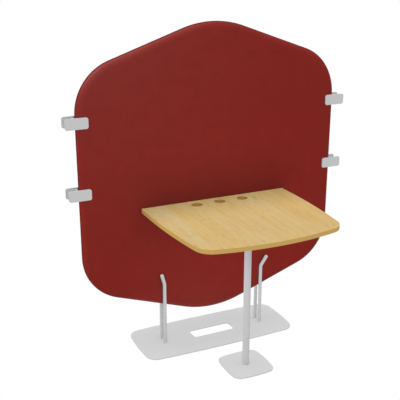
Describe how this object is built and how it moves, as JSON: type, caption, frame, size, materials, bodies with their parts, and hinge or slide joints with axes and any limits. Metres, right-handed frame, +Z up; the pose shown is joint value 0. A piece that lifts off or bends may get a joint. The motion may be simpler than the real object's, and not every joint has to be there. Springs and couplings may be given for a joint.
{
  "type": "desk with privacy screen",
  "caption": "Padded hexagonal privacy screen held by bent rods on a steel base plate, with a maple worktop carried by the screen and a front post, and push-on link clips at its sides.",
  "frame": {"origin": "on the floor, under the middle of the object's box", "axes": "+Z up, +X to the user's right, +Y from the user towards the screen; the screen's middle plane is at y = 237.5 mm"},
  "size_m": [1.401, 0.7959, 1.5311],
  "materials": {
    "screen_fabric": "felted wool cover over foam, matt",
    "piping_fabric": "darker welt, matt",
    "core_board": "raw board, hidden",
    "worktop_wood": "satin lacquered maple",
    "powder_coat": "fine-textured matt light grey powder coat",
    "plated_steel": "zinc plated",
    "pad_rubber": "matt"
  },
  "bodies": {
    "desk": {"front_pad": "screen_fabric", "rear_pad": "screen_fabric", "edge_piping": "piping_fabric", "screen_core": "core_board", "worktop": "worktop_wood", "base_plate": "powder_coat", "foot_plate": "powder_coat", "left_front_rod": "powder_coat", "left_rear_rod": "powder_coat", "right_front_rod": "powder_coat", "right_rear_rod": "powder_coat", "post": "powder_coat", "post_flange": "powder_coat", "left_bracket": "powder_coat", "right_bracket": "powder_coat", "insert_nuts": "plated_steel", "fork_bolts": "plated_steel", "fork_sleeves": "plated_steel", "rod_screws": "plated_steel", "bracket_panel_screws": "plated_steel", "bracket_top_screws": "plated_steel", "flange_screws": "plated_steel", "foot_screw": "plated_steel", "post_plug": "plated_steel", "base_pads": "pad_rubber", "foot_pads": "pad_rubber"},
    "left_upper_clip": {"left_upper_clip_front_plate": "powder_coat", "left_upper_clip_rear_plate": "powder_coat", "left_upper_clip_spacer": "powder_coat", "left_upper_clip_screws": "plated_steel"},
    "left_lower_clip": {"left_lower_clip_front_plate": "powder_coat", "left_lower_clip_rear_plate": "powder_coat", "left_lower_clip_spacer": "powder_coat", "left_lower_clip_screws": "plated_steel"},
    "right_upper_clip": {"right_upper_clip_front_plate": "powder_coat", "right_upper_clip_rear_plate": "powder_coat", "right_upper_clip_spacer": "powder_coat", "right_upper_clip_screws": "plated_steel"},
    "right_lower_clip": {"right_lower_clip_front_plate": "powder_coat", "right_lower_clip_rear_plate": "powder_coat", "right_lower_clip_spacer": "powder_coat", "right_lower_clip_screws": "plated_steel"}
  },
  "joints": [
    {"name": "left_upper_clip_slide", "type": "slide", "parent": "desk", "child": "left_upper_clip", "axis": [-1, 0, 0], "range_m": [0, 0.055]},
    {"name": "left_lower_clip_slide", "type": "slide", "parent": "desk", "child": "left_lower_clip", "axis": [-1, 0, 0], "range_m": [0, 0.055]},
    {"name": "right_upper_clip_slide", "type": "slide", "parent": "desk", "child": "right_upper_clip", "axis": [1, 0, 0], "range_m": [0, 0.055]},
    {"name": "right_lower_clip_slide", "type": "slide", "parent": "desk", "child": "right_lower_clip", "axis": [1, 0, 0], "range_m": [0, 0.055]}
  ]
}
